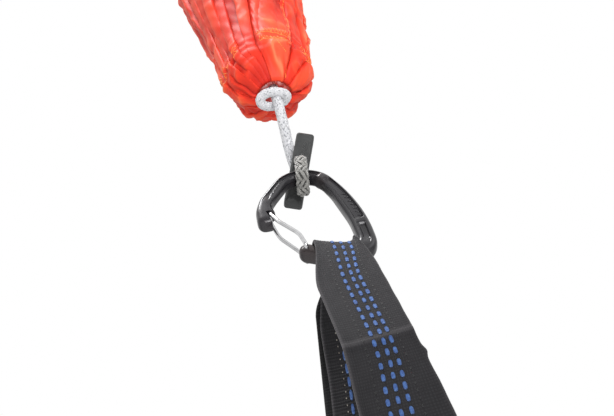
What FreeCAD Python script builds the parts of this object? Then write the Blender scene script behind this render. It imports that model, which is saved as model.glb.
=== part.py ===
import FreeCAD, Part
import collections
import math
import os
import Sketcher

# Suspension end of a gathered-end hammock: the bunched fabric, its cord and toggle,
# a wire-gate carabiner and the doubled webbing at the head of its strap.
# +Z runs up the load line. The origin is the centre of the fabric's finished top edge.
# Every sub-part is drawn about the point where the rope bears on the carabiner's bow,
# and its Placement lowers it by the cell "hang".

SIZES = {
    "hang": 250.0,                # top edge of the fabric above the rope's bearing point
    "fabric_layer": 1.6,          # bulk of the pleated fabric wall
    "hem_layer": 1.2,             # bulk of the folded channel sleeve
    "seam_thread": 0.9,           # diameter of a raised seam line
    "side_hem_diameter": 3.4,     # rolled long edges of the panel
    "channel_cord_diameter": 4.0,
    "channel_cord_ring": 15.5,    # radius of the cord's turn inside the channel
    "eye_height": 78.5,           # eye of the cord above the bearing point
    "eye_long": 21.0,
    "eye_short": 16.0,
    "eye_band": 4.4,
    "cord_diameter": 6.0,
    "rope_width": 6.2,            # flattened core rope of the eye round the bow
    "rope_thick": 3.6,
    "toggle_above": 21.3,         # toggle's length above its hole
    "toggle_below": 24.0,
    "toggle_width": 9.6,
    "toggle_depth": 8.0,
    "toggle_hole": 6.8,           # diameter
    "toggle_lean": 20.4,          # degrees, top towards the front
    "toggle_tilt": 21.6,          # degrees, top towards the spine
    "toggle_twist": 10.0,         # degrees about its own length, face towards the spine
    "bow_radius": 13.8,           # centreline of the carabiner's bow
    "bar_width": 6.5,             # carabiner bar, in its own plane
    "bar_depth": 8.0,             # and across it
    "bar_round": 2.6,
    "eyelet_radius": 4.2,
    "nose_radius": 4.7,
    "gate_wire": 1.9,             # diameter
    "gate_hole": 2.0,             # diameter
    "relief_depth": 1.1,
    "webbing_width": 29.0,
    "webbing_thick": 1.8,
    "tracer_pitch": 4.8,          # blue stitches along the webbing
    "tracer_spacing": 3.3,        # between neighbouring blue rows
    "dark_spacing": 6.6,          # dark rows, from the middle row
    "back_rows_aside": 3.0,       # the back leg's blue rows, off its middle towards the gate
}

doc = FreeCAD.newDocument("hammock_suspension")
sheet = doc.addObject("Spreadsheet::Sheet", "Sizes")
for row, (alias, value) in enumerate(SIZES.items(), start=1):
    sheet.set(f"A{row}", alias)
    sheet.set(f"B{row}", str(value))
    sheet.setAlias(f"B{row}", alias)
doc.recompute()

parts = []


def size(alias):
    return float(sheet.get(alias))


def vec(x, y, z=0.0):
    return FreeCAD.Vector(x, y, z)


HANG = size("hang")
WEB = size("webbing_thick")


# ---- planar paths: straight runs joined by tangent arcs ----

def rounded_path(points, radii):
    """Pieces (start, middle, end, centre or None) of a polyline with rounded corners.

    radii holds one radius for each inner point.
    """
    points = [FreeCAD.Vector(*p) for p in points]
    pieces = []
    here = points[0]
    for before, corner, after, radius in zip(points, points[1:], points[2:], radii):
        back = (before - corner).normalize()
        ahead = (after - corner).normalize()
        half = back.getAngle(ahead) / 2
        reach = radius / math.tan(half)
        start = corner + back * reach
        end = corner + ahead * reach
        inward = (back + ahead).normalize()
        centre = corner + inward * (radius / math.sin(half))
        middle = centre - inward * radius
        pieces.append((here, (here + start) / 2, start, None))
        pieces.append((start, middle, end, centre))
        here = end
    pieces.append((here, (here + points[-1]) / 2, points[-1], None))
    return pieces


def moved(point, centre, direction, shift):
    """The point of an offset path beside a point of the path, shift to the left."""
    if centre is None:
        return point + vec(-direction.y, direction.x) * shift
    spoke = point - centre
    left = vec(-direction.y, direction.x)
    side = 1 if spoke.dot(left) > 0 else -1
    return centre + spoke * ((spoke.Length + side * shift) / spoke.Length)


def offset_edges(pieces, shift):
    """Sketch geometry of the path shifted to its left, in the XY plane."""
    edges = []
    for start, middle, end, centre in pieces:
        chord = (end - start).normalize()
        a, m, b = (moved(p, centre, chord, shift) for p in (start, middle, end))
        if centre is None:
            edges.append(Part.LineSegment(a, b))
        else:
            edges.append(Part.Arc(a, m, b))
    return edges


def ribbon(points, radii, half):
    """Closed outline of a strip of constant thickness about a rounded path."""
    pieces = rounded_path([(*p, 0) for p in points], radii)
    left = offset_edges(pieces, half)
    right = offset_edges(pieces, -half)
    caps = [
        Part.LineSegment(left[0].StartPoint, right[0].StartPoint),
        Part.LineSegment(left[-1].EndPoint, right[-1].EndPoint),
    ]
    return left + right + caps


# ---- document helpers ----

def new_body(label):
    body = doc.addObject("PartDesign::Body", label)
    body.Label = label
    body.setExpression("Placement.Base.z", "-Sizes.hang")
    parts.append(body)
    return body


def new_sketch(body, name, plane, geometry, lift=0.0):
    sketch = body.newObject("Sketcher::SketchObject", name)
    origin_plane = [f for f in body.Origin.OriginFeatures if f.Role == plane][0]
    sketch.AttachmentSupport = [(origin_plane, "")]
    sketch.MapMode = "FlatFace"
    sketch.AttachmentOffset = FreeCAD.Placement(vec(0, 0, lift), FreeCAD.Rotation())
    sketch.addGeometry(geometry, False)
    return sketch


def pad(body, name, sketch, length, alias=None):
    feature = body.newObject("PartDesign::Pad", name)
    feature.Profile = sketch
    feature.SideType = "Symmetric"
    feature.Length = length
    if alias:
        feature.setExpression("Length", alias)
    return feature


def cut(body, name, sketch, length):
    """A pocket; it has to take something away."""
    doc.recompute()
    before = body.Shape.Volume
    feature = body.newObject("PartDesign::Pocket", name)
    feature.Profile = sketch
    feature.SideType = "Symmetric"
    feature.Length = length
    doc.recompute()
    if not body.Shape.Volume < before:
        raise RuntimeError(f"{name} cuts nothing")
    return feature


def revolve(body, name, sketch):
    feature = body.newObject("PartDesign::Revolution", name)
    feature.Profile = sketch
    feature.ReferenceAxis = (sketch, ["V_Axis"])
    feature.Angle = 360
    return feature


def round_edges(body, name, base, alias, keep):
    """Fillets the edges of base for which keep(edge) is true."""
    doc.recompute()
    names = [f"Edge{i}" for i, e in enumerate(base.Shape.Edges, start=1) if keep(e)]
    feature = body.newObject("PartDesign::Fillet", name)
    feature.Base = (base, names)
    feature.setExpression("Radius", alias)
    doc.recompute()
    return feature


def revolved_part(label, points, radii, thickness):
    """A ring or bell about Z: points are (radius, height) of its wall's middle."""
    body = new_body(label)
    sketch = new_sketch(body, label + "_wall", "XZ_Plane", ribbon(points, radii, thickness / 2))
    revolve(body, label + "_turn", sketch)
    return body


def solid_part(label, shape):
    feature = doc.addObject("Part::Feature", label)
    feature.Label = label
    feature.Shape = shape
    feature.Placement = FreeCAD.Placement(vec(0, 0, -HANG), FreeCAD.Rotation())
    parts.append(feature)
    return feature


def tube(points, diameter, share=0.45, radii=None):
    """A round tube along straight runs joined by tangent arcs, as large as the runs allow."""
    corners = [FreeCAD.Vector(*p) for p in points]
    if radii is None:
        radii = []
        for before, corner, after in zip(corners, corners[1:], corners[2:]):
            turn = math.pi - (before - corner).getAngle(after - corner)
            run = min((before - corner).Length, (after - corner).Length)
            radii.append(share * run / math.tan(turn / 2))
    edges = []
    for start, middle, end, centre in rounded_path(points, radii):
        curve = Part.LineSegment(start, end) if centre is None else Part.Arc(start, middle, end)
        edges.append(curve.toShape())
    wire = Part.Wire(edges)
    heading = corners[1] - corners[0]
    circle = Part.Circle(corners[0], heading, diameter / 2).toShape()
    solid = wire.makePipeShell([Part.Wire([circle])], True, False)
    expected = math.pi * diameter ** 2 / 4 * wire.Length
    print("tube radii", [round(r, 1) for r in radii], "length", round(wire.Length, 1),
          "volume ratio", round(solid.Volume / expected, 4))
    return solid


# ---- gathered fabric end ----

FABRIC_WALL = [(9.5, 85.5), (12.5, 82.8), (23.0, 97.5), (28.6, 147.0), (45.0, 249.0)]
FABRIC_ROUNDS = [2.2, 16.0, 160.0]


def fabric_radius(height):
    """Middle of the fabric wall at a height."""
    for (r0, z0), (r1, z1) in zip(FABRIC_WALL, FABRIC_WALL[1:]):
        if z0 <= height <= z1:
            return r0 + (r1 - r0) * (height - z0) / (z1 - z0)
    return FABRIC_WALL[-1][0]


def fabric_end():
    layer = size("fabric_layer")
    revolved_part("hammock_fabric", FABRIC_WALL, FABRIC_ROUNDS, layer)
    sleeve = [(12.2, 87.0), (12.2, 95.0), (20.2, 103.5), (23.4, 114.0)]
    revolved_part("channel_hem", sleeve, [6.0, 10.0], size("hem_layer"))
    top_edge = [(fabric_radius(z) + layer + 0.2, z) for z in (249.0, 237.0)]
    revolved_part("top_hem", top_edge, [], 1.4)
    thread = size("seam_thread")
    for label, height in (("channel_seam_upper", 113.0), ("channel_seam_lower", 105.0)):
        ring = doc.addObject("Part::Torus", label)
        ring.Label = label
        ring.Radius1 = fabric_radius(height) + layer / 2 + thread / 2 + 0.1
        ring.setExpression("Radius2", "Sizes.seam_thread / 2")
        ring.Placement = FreeCAD.Placement(vec(0, 0, height - HANG), FreeCAD.Rotation())
        parts.append(ring)
    hem = size("side_hem_diameter")
    stand = layer / 2 + hem / 2 + 0.2
    for label, degrees in (("side_hem_front", -58.0), ("side_hem_spine_side", -8.0)):
        angle = math.radians(degrees)
        route = []
        for height in (235.5, 147.0, 121.0):
            reach = fabric_radius(height) + stand
            route.append((reach * math.cos(angle), reach * math.sin(angle), height))
        solid_part(label, tube(route, hem))


# ---- cord, its eye and the toggle ----

BOW_CENTRE = vec(-1.0, 0, -10.8)
TOGGLE_FACE = vec(2.7, 4.5, 21.4)     # centre of the hole's front mouth


def toggle_rotation():
    lean = FreeCAD.Rotation(vec(1, 0, 0), size("toggle_lean"))
    tilt = FreeCAD.Rotation(vec(0, 1, 0), size("toggle_tilt"))
    twist = FreeCAD.Rotation(vec(0, 0, 1), size("toggle_twist"))
    return tilt.multiply(lean).multiply(twist)


def toggle_front():
    """Unit direction in which the toggle's front face looks."""
    return toggle_rotation().multVec(vec(0, -1, 0))


def cord_in_channel():
    ring = doc.addObject("Part::Torus", "channel_cord")
    ring.Label = "channel_cord"
    ring.setExpression("Radius1", "Sizes.channel_cord_ring")
    ring.setExpression("Radius2", "Sizes.channel_cord_diameter / 2")
    ring.Placement = FreeCAD.Placement(vec(0, 0, 93.0 - HANG), FreeCAD.Rotation())
    parts.append(ring)


def cord_eye():
    body = new_body("cord_eye")
    middle = vec(-1.2, -2.4)
    band = size("eye_band")
    long_half = size("eye_long") / 2
    short_half = size("eye_short") / 2
    rings = []
    for inset in (0.0, band):
        rings.append(Part.Ellipse(middle, long_half - inset, short_half - inset))
    sketch = new_sketch(body, "eye_ring", "XY_Plane", rings, size("eye_height"))
    ring = pad(body, "eye_depth", sketch, band, "Sizes.eye_band")
    round_edges(body, "eye_round", ring, "Sizes.eye_band * 0.42", lambda e: e.Length > band * 2)


def hanging_cord():
    """From the toggle's front face, back through its hole and up through the cord eye."""
    front = toggle_front()
    mouth = TOGGLE_FACE + front * 0.25
    behind = TOGGLE_FACE - front * 13.0
    route = [tuple(mouth), tuple(behind), (0.8, 12.5, 44.0), (0.6, -2.4, 67.0), (0.6, -2.4, 91.0)]
    solid_part("hanging_cord", tube(route, size("cord_diameter"), radii=[5.5, 44.0, 40.0]))


def tangent_feet(low, low_radius, high, high_radius, side):
    """Where the outer tangent on one side touches two circles in a plane."""
    run = high - low
    reach = run.Length
    tilt = math.asin((low_radius - high_radius) / reach)
    heading = math.atan2(run.y, run.x) - side * (math.pi / 2 - tilt)
    spoke = vec(math.cos(heading), math.sin(heading))
    return low + spoke * low_radius, high + spoke * high_radius


def teardrop(low, low_radius, high, high_radius):
    """Closed outline round two circles."""
    back = tangent_feet(low, low_radius, high, high_radius, 1)
    front = tangent_feet(low, low_radius, high, high_radius, -1)
    along = (high - low).normalize()
    return [
        Part.LineSegment(*back),
        Part.Arc(back[1], high + along * high_radius, front[1]),
        Part.LineSegment(front[1], front[0]),
        Part.Arc(front[0], low - along * low_radius, back[0]),
    ]


def rope_eye():
    """Loop of flattened rope round the bow, in a plane through the bow's centre."""
    thick = size("rope_thick")
    reach = TOGGLE_FACE + toggle_front() * 3.0 - BOW_CENTRE
    swing = math.degrees(math.atan2(reach.x, reach.z))
    face = vec(TOGGLE_FACE.y, math.hypot(reach.x, reach.z) + 1.2)
    low = vec(0, size("bow_radius"))
    wrap = 4.45 + thick / 2           # round the bar's rounded section, with a little slack
    crown = 1.9
    high = face + vec(-2.4, -4.8)
    outlines = []
    for grow in (thick / 2, -thick / 2):
        outlines += teardrop(low, wrap + grow, high, crown + grow)
    body = new_body("rope_eye")
    body.Placement = FreeCAD.Placement(
        BOW_CENTRE - vec(0, 0, HANG), FreeCAD.Rotation(vec(0, 1, 0), swing))
    body.setExpression("Placement.Base.z", f"{BOW_CENTRE.z} - Sizes.hang")
    sketch = new_sketch(body, "rope_loop", "YZ_Plane", outlines)
    loop = pad(body, "rope_width", sketch, size("rope_width"), "Sizes.rope_width")
    half = size("rope_width") / 2
    round_edges(body, "rope_round", loop, "Sizes.rope_thick * 0.38",
                lambda e: abs(abs(e.CenterOfMass.x) - half) < 0.01)


def toggle_bar():
    """Straight bar with rounded ends and a cross hole; its own Z runs along it."""
    body = new_body("toggle_bar")
    half_width = size("toggle_width") / 2
    half_depth = size("toggle_depth") / 2
    top = size("toggle_above")
    bottom = -size("toggle_below")
    corners = [(-half_width, bottom), (half_width, bottom), (half_width, top), (-half_width, top)]
    outline = []
    for a, b in zip(corners, corners[1:] + corners[:1]):
        outline.append(Part.LineSegment(vec(*a), vec(*b)))
    sketch = new_sketch(body, "toggle_face", "XZ_Plane", outline)
    bar = pad(body, "toggle_thickness", sketch, size("toggle_depth"), "Sizes.toggle_depth")

    def across_end(edge):
        middle = edge.CenterOfMass
        return abs(middle.x) < 0.01 and abs(abs(middle.y) - half_depth) < 0.01

    ends = round_edges(body, "toggle_ends", bar, "Sizes.toggle_depth * 0.38", across_end)
    round_edges(body, "toggle_round", ends, "Sizes.toggle_depth * 0.2",
                lambda e: abs(abs(e.CenterOfMass.x) - half_width) < 0.01)
    hole = Part.Circle(vec(0, 0), vec(0, 0, 1), size("toggle_hole") / 2)
    hole_sketch = new_sketch(body, "toggle_hole_outline", "XZ_Plane", [hole])
    hole_sketch.addConstraint(Sketcher.Constraint("Radius", 0, size("toggle_hole") / 2))
    hole_sketch.setExpression("Constraints[0]", "Sizes.toggle_hole / 2")
    cut(body, "toggle_hole", hole_sketch, size("toggle_depth") * 2)
    centre = TOGGLE_FACE - toggle_front() * half_depth
    body.Placement = FreeCAD.Placement(centre - vec(0, 0, HANG), toggle_rotation())
    body.setExpression("Placement.Base.z", f"{centre.z} - Sizes.hang")


# ---- carabiner and its wire gate ----

EYELET = vec(-7.6, 0, -52.6)
NOSE = vec(-22.0, 0, -25.4)
PIVOT = vec(-7.9, 0, -53.0)
GATE_TIP = vec(-19.8, 0, -23.5)
ARM_ANGLE = 143.0                 # where the bow's arc ends on the gate side
SPINE_ANGLE_OUT = 24.0            # and on the spine side, outside
SPINE_ANGLE_IN = 18.0             # and inside


def bow_corner(radius, other_angle):
    """Corner at which the tangents at the two ends of the bow's arc would meet."""
    first = math.radians(ARM_ANGLE)
    last = math.radians(other_angle)
    reach = radius / math.cos((first - last) / 2)
    middle = (first + last) / 2
    return (BOW_CENTRE.x + reach * math.cos(middle), BOW_CENTRE.z + reach * math.sin(middle))


def carabiner_edges():
    """Outer and inner edges of the bar, from the nose over the bow to the eyelet."""
    bow = size("bow_radius")
    half = size("bar_width") / 2
    outer = [(-25.2, -25.4), (-25.2, -14.5), bow_corner(bow + half, SPINE_ANGLE_OUT),
             (25.2, -28.2), (24.0, -64.0), (4.0, -62.8), (-9.5, -54.6)]
    inner = [(-18.7, -25.4), (-18.7, -16.7), bow_corner(bow - half, SPINE_ANGLE_IN),
             (11.3, -14.0), (15.4, -36.0), (16.2, -58.4), (5.2, -55.9), (-7.4, -49.2)]
    outer_pieces = rounded_path([(*p, 0) for p in outer], [20.0, bow + half, 100.0, 11.0, 16.0])
    inner_pieces = rounded_path([(*p, 0) for p in inner], [13.0, bow - half, 40.0, 60.0, 6.5, 10.0])
    return outer_pieces, inner_pieces


def carabiner_outline():
    outer, inner = (offset_edges(pieces, 0) for pieces in carabiner_edges())
    caps = [
        Part.LineSegment(outer[0].StartPoint, inner[0].StartPoint),
        Part.LineSegment(outer[-1].EndPoint, inner[-1].EndPoint),
    ]
    return outer + inner + caps


def carabiner_body():
    body = new_body("carabiner_body")
    depth = size("bar_depth")
    sketch = new_sketch(body, "bar_outline", "XZ_Plane", carabiner_outline())
    bar = pad(body, "bar_depth", sketch, depth, "Sizes.bar_depth")

    def along_bar(edge):
        return abs(abs(edge.CenterOfMass.y) - depth / 2) < 0.01 and edge.Length > 6.5

    round_edges(body, "bar_round", bar, "Sizes.bar_round", along_bar)
    for name, centre, radius, soft in (("eyelet", EYELET, size("eyelet_radius"), 2.7),
                                       ("nose", NOSE, size("nose_radius"), 2.6)):
        boss = new_sketch(body, name + "_section", "XY_Plane", button_half(radius, depth, soft))
        boss.AttachmentOffset = FreeCAD.Placement(centre, FreeCAD.Rotation())
        revolve(body, name + "_boss", boss)
    pivot = Part.Circle(vec(PIVOT.x, PIVOT.z), vec(0, 0, 1), size("gate_hole") / 2)
    hole = new_sketch(body, "gate_hole_outline", "XZ_Plane", [pivot])
    hole.addConstraint(Sketcher.Constraint("Radius", 0, size("gate_hole") / 2))
    hole.setExpression("Constraints[0]", "Sizes.gate_hole / 2")
    cut(body, "gate_hole", hole, depth * 2)
    notch = new_sketch(body, "nose_notch_outline", "XZ_Plane", nose_notch())
    cut(body, "nose_notch", notch, depth * 2)
    relief(body, depth)


def button_half(radius, depth, soft):
    """Half section of a round boss with rounded rims, beside its axis."""
    half = depth / 2
    bend = soft * (1 - math.sqrt(0.5))
    return [
        Part.LineSegment(vec(0, -half), vec(radius - soft, -half)),
        Part.Arc(vec(radius - soft, -half), vec(radius - bend, -half + bend),
                 vec(radius, -half + soft)),
        Part.LineSegment(vec(radius, -half + soft), vec(radius, half - soft)),
        Part.Arc(vec(radius, half - soft), vec(radius - bend, half - bend),
                 vec(radius - soft, half)),
        Part.LineSegment(vec(radius - soft, half), vec(0, half)),
        Part.LineSegment(vec(0, half), vec(0, -half)),
    ]


def gate_frame():
    """Unit vectors along the gate and outwards from it, and its length, in X and Z."""
    along = GATE_TIP - PIVOT
    reach = along.Length
    along.normalize()
    outward = vec(-along.z, 0, along.x)
    return along, outward, reach


def nose_notch():
    """The step that the gate's wire loop closes against, open towards the inside."""
    along, outward, reach = gate_frame()
    stop = reach + 1.3
    corners = []
    for s, out in ((stop, 1.5), (stop - 11, 2.7), (stop - 11, -9), (stop - 2, -9)):
        point = PIVOT + along * s + outward * out
        corners.append(vec(point.x, point.z))
    return [Part.LineSegment(a, b) for a, b in zip(corners, corners[1:] + corners[:1])]


def relief(body, depth):
    """Long panels sunk in both faces of the bow and the spine."""
    outer, _ = carabiner_edges()
    bow = outer[3]
    spine = outer[5]
    for name, arc, first, last, inset, width in (
            ("spine_relief", spine, 0.22, 0.90, 3.6, 2.6),
            ("bow_relief", bow, 0.62, 0.99, 3.2, 1.8),
            ("arm_relief", bow, 0.02, 0.30, 3.2, 1.8)):
        for face, side in (("front", 1), ("back", -1)):
            floor = depth / 2 - size("relief_depth")
            sketch = new_sketch(body, f"{name}_{face}", "XZ_Plane",
                                slot_on_arc(arc, first, last, inset, width), side * (floor + 5))
            cut(body, f"{name}_{face}_cut", sketch, 10)


def slot_on_arc(arc, first, last, inset, width):
    """Closed outline of a band inside part of an arc, with square ends."""
    start, middle, end, centre = arc
    a0 = math.atan2(start.y - centre.y, start.x - centre.x)
    a1 = math.atan2(end.y - centre.y, end.x - centre.x)
    radius = (start - centre).Length - inset
    angles = [a0 + (a1 - a0) * share for share in (first, (first + last) / 2, last)]
    rails = []
    for reach in (radius + width / 2, radius - width / 2):
        rails.append([centre + vec(math.cos(a), math.sin(a)) * reach for a in angles])
    outer, inner = rails
    return [Part.Arc(*outer), Part.LineSegment(outer[2], inner[2]), Part.Arc(*inner),
            Part.LineSegment(inner[0], outer[0])]


def wire_gate():
    """A bent wire loop: two ends in the eyelet, two bowed legs and a closed nose end."""
    along, outward, reach = gate_frame()
    leg = [(0, -1.0, 0), (0, -5.6, 0), (8, -5.9, -1.5), (22, -5.3, 1.3), (reach, -3.1, 0.2)]
    loop = leg + [(s, -y, out) for s, y, out in reversed(leg)]
    route = []
    for s, y, out in loop:
        route.append(tuple(PIVOT + along * s + outward * out + vec(0, y, 0)))
    radii = [1.6, 14.0, 14.0, 2.2, 2.2, 14.0, 14.0, 1.6]
    solid_part("wire_gate", tube(route, size("gate_wire"), radii=radii))


# ---- webbing strap ----

STRAP_TOP = vec(4.2, 0, -56.0)        # middle of the fold over the basket
STRAP_LEAN = -3.0                     # degrees about Y, lower end towards the spine
FOLD_HALF = 6.25                      # from the fold's middle to each leg

# Each leg: side view in Y and Z, radii of its bends, lean about Y and shift along X.
Leg = collections.namedtuple("Leg", "path radii lean shift")
FRONT_LEG = Leg([(-6.25, -1.5), (-9.6, -19.0), (-15.6, -66.0), (-2.4, -136.0)],
                [40.0, 25.0], 0.0, 0.0)
BACK_LEG = Leg([(6.25, -1.5), (10.2, -20.0), (17.8, -48.0), (18.6, -76.0), (15.0, -136.0)],
               [40.0, 40.0, 60.0], 10.5, 4.9)
BACKING = Leg([(9.4, -1.0), (12.6, -18.0), (20.6, -46.0), (20.8, -76.0), (17.2, -136.0)],
              [40.0, 60.0, 60.0], 10.5, 2.5)


def strap_placement():
    return FreeCAD.Placement(STRAP_TOP - vec(0, 0, HANG), FreeCAD.Rotation(vec(0, 1, 0), STRAP_LEAN))


def strap_body(label):
    body = new_body(label)
    body.Placement = strap_placement()
    body.setExpression("Placement.Base.z", f"{STRAP_TOP.z} - Sizes.hang")
    return body


def strap_solids(label, leg, solids):
    """Loose solids laid out on a leg before its lean and shift."""
    group = Part.makeCompound(solids)
    on_leg = FreeCAD.Placement(vec(leg.shift, 0, 0), FreeCAD.Rotation(vec(0, 1, 0), leg.lean))
    feature = solid_part(label, group)
    feature.Placement = strap_placement().multiply(on_leg)


def strip(body, name, leg):
    """A flat length of webbing: its side view, extended across X."""
    outline = ribbon(leg.path, leg.radii, WEB / 2)
    sketch = new_sketch(body, name + "_side", "YZ_Plane", outline)
    sketch.AttachmentOffset = FreeCAD.Placement(
        vec(0, 0, leg.shift), FreeCAD.Rotation(vec(1, 0, 0), leg.lean))
    return pad(body, name, sketch, size("webbing_width"), "Sizes.webbing_width")


def leg_y(leg, height):
    for (y0, z0), (y1, z1) in zip(leg.path, leg.path[1:]):
        if z1 <= height <= z0:
            return y0 + (y1 - y0) * (height - z0) / (z1 - z0)
    return leg.path[-1][0]


def strap_webbing():
    """One length of webbing: front leg, cupped turn over the basket, back leg."""
    body = strap_body("strap_webbing")
    strip(body, "front_leg", FRONT_LEG)
    turn = new_sketch(body, "basket_turn_section", "XZ_Plane", basket_turn())
    pad(body, "basket_turn", turn, 2 * FOLD_HALF + WEB)
    strip(body, "back_leg", BACK_LEG)
    taper = new_sketch(body, "shoulder_outline", "XZ_Plane", shoulders())
    cut(body, "shoulders", taper, 80)


def basket_turn():
    """The webbing's cupped section where it lies in the basket."""
    return ribbon([(-6.3, 6.0), (1.9, 1.3), (9.7, -0.9), (9.9, 6.0)], [10.0, 4.5], WEB / 2)


def shoulders():
    """What the cupped fold draws in from the strap's full width, on both sides."""
    half = size("webbing_width") / 2 + 1
    edges = []
    for side, top, foot in ((-1, 9.2, -32.0), (1, 12.6, -24.0)):
        edge = size("webbing_width") / 2
        corners = [(side * top, 0.5), (side * edge, foot), (side * half, foot), (side * half, 0.5)]
        for a, b in zip(corners, corners[1:] + corners[:1]):
            edges.append(Part.LineSegment(vec(*a), vec(*b)))
    return edges


def backing_webbing():
    strip(strap_body("backing_webbing"), "backing", BACKING)


def stitch_row(label, leg, offset, first, last, dash, thread, pitch):
    """A row of stitches along the front face of a leg."""
    stitches = []
    count = int((first - last) / pitch)
    for i in range(count):
        top = first - i * pitch
        ends = []
        for height in (top, top - dash):
            y = leg_y(leg, height) - WEB / 2 - thread
            ends.append(vec(offset, y, height))
        heading = ends[1] - ends[0]
        stitches.append(Part.makeCylinder(thread / 2, heading.Length, ends[0], heading))
    strap_solids(label, leg, stitches)


def strap_stitches():
    spacing = size("tracer_spacing")
    pitch = size("tracer_pitch")
    for label, step in (("left", -1), ("middle", 0), ("right", 1)):
        across = step * spacing
        stitch_row("tracer_row_" + label, FRONT_LEG, across, -4.0, -132.0, 3.2, 1.0, pitch)
        stitch_row("back_tracer_" + label, BACK_LEG, across - size("back_rows_aside"),
                   -24.0, -88.0, 3.2, 1.0, pitch)
    for label, step in (("left", -1), ("right", 1)):
        stitch_row("dark_row_" + label, FRONT_LEG, step * size("dark_spacing"), -4.0, -132.0,
                   1.6, 0.6, pitch / 2)


def bartack():
    """Close rows of thread that sew the back leg to its backing."""
    width = size("webbing_width") - 5
    thread = 0.9
    rows = []
    for i in range(5):
        height = -92.0 - 1.1 * i
        y = leg_y(BACK_LEG, height) - WEB / 2 - thread / 2 - 0.1
        rows.append(Part.makeCylinder(thread / 2, width, vec(-width / 2, y, height), vec(1, 0, 0)))
    strap_solids("bartack_thread", BACK_LEG, rows)


fabric_end()
cord_in_channel()
cord_eye()
hanging_cord()
rope_eye()
toggle_bar()
carabiner_body()
wire_gate()
strap_webbing()
backing_webbing()
strap_stitches()
bartack()

doc.recompute()
for item in doc.Objects:
    if "Invalid" in item.State or "Error" in item.State:
        raise RuntimeError(f"{item.Label} is {item.State}")
os.makedirs("parts", exist_ok=True)
for part in parts:
    if part.Shape.isNull() or not part.Shape.isValid():
        raise RuntimeError(f"{part.Label} has no valid shape")
    part.Shape.exportStep(f"parts/{part.Label}.step")
    box = part.Shape.BoundBox
    print(part.Label, "volume", round(part.Shape.Volume), "z", round(box.ZMin, 1), round(box.ZMax, 1))
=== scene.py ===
import math
import random

import bmesh
import bpy
import numpy as np
from mathutils import Matrix, Quaternion, Vector


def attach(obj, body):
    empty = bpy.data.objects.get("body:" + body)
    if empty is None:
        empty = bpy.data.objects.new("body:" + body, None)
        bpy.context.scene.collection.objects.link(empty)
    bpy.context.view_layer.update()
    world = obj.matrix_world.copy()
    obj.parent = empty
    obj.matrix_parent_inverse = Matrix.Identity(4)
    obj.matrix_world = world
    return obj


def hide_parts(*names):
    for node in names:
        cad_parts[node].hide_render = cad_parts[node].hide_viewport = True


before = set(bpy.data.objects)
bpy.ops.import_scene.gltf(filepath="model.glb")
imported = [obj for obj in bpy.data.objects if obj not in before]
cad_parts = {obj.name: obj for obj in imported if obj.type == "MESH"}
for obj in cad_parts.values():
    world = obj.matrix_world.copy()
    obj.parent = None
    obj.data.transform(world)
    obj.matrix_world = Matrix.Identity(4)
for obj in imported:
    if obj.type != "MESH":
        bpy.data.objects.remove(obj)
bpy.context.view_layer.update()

random.seed(7)

MM = 0.001
HANG = 250.0          # mm from the rope's bearing point up to the fabric's top edge


def metres(points):
    """Points in mm about the rope's bearing point, as metres in the row frame."""
    points = np.asarray(points, float)
    return (points - np.array([0.0, 0.0, HANG])) * MM


def smoothstep(low, high, value):
    t = np.clip((np.asarray(value, float) - low) / (high - low), 0, 1)
    return t * t * (3 - 2 * t)


def unit(vectors):
    """The vectors, scaled to length 1."""
    return vectors / np.linalg.norm(vectors, axis=-1, keepdims=True)


def full_turn(count):
    """Evenly spaced angles round a circle."""
    return np.arange(count) * 2 * math.pi / count


def oval(angle, half_side, half_other):
    """Radius of an ellipse at angles from its first axis."""
    return 1 / np.sqrt((np.cos(angle) / half_side) ** 2 + (np.sin(angle) / half_other) ** 2)


# ---- camera ----

CAMERA_AT = (-0.0437, -0.2413, -0.5663)
CAMERA_AZIMUTH = -9.90                 # degrees from straight in front, towards -X
CAMERA_ELEVATION = -50.34              # degrees, negative from below
CAMERA_ROLL = -17.69
SENSOR_WIDTH = 36.0
FOCAL_LENGTH = 46.9


def make_camera():
    """A camera below and in front of the part, looking up along it."""
    data = bpy.data.cameras.new("camera")
    data.sensor_width = SENSOR_WIDTH
    data.lens = FOCAL_LENGTH
    data.clip_start = 0.01
    camera = bpy.data.objects.new("camera", data)
    bpy.context.scene.collection.objects.link(camera)
    camera.matrix_world = (Matrix.Translation(CAMERA_AT) @
                           Matrix.Rotation(math.radians(CAMERA_AZIMUTH), 4, "Z") @
                           Matrix.Rotation(math.radians(90.0 - CAMERA_ELEVATION), 4, "X") @
                           Matrix.Rotation(math.radians(CAMERA_ROLL), 4, "Z"))
    bpy.context.scene.camera = camera
    bpy.context.scene.view_settings.view_transform = "Standard"


make_camera()


# ---- materials ----

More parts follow.
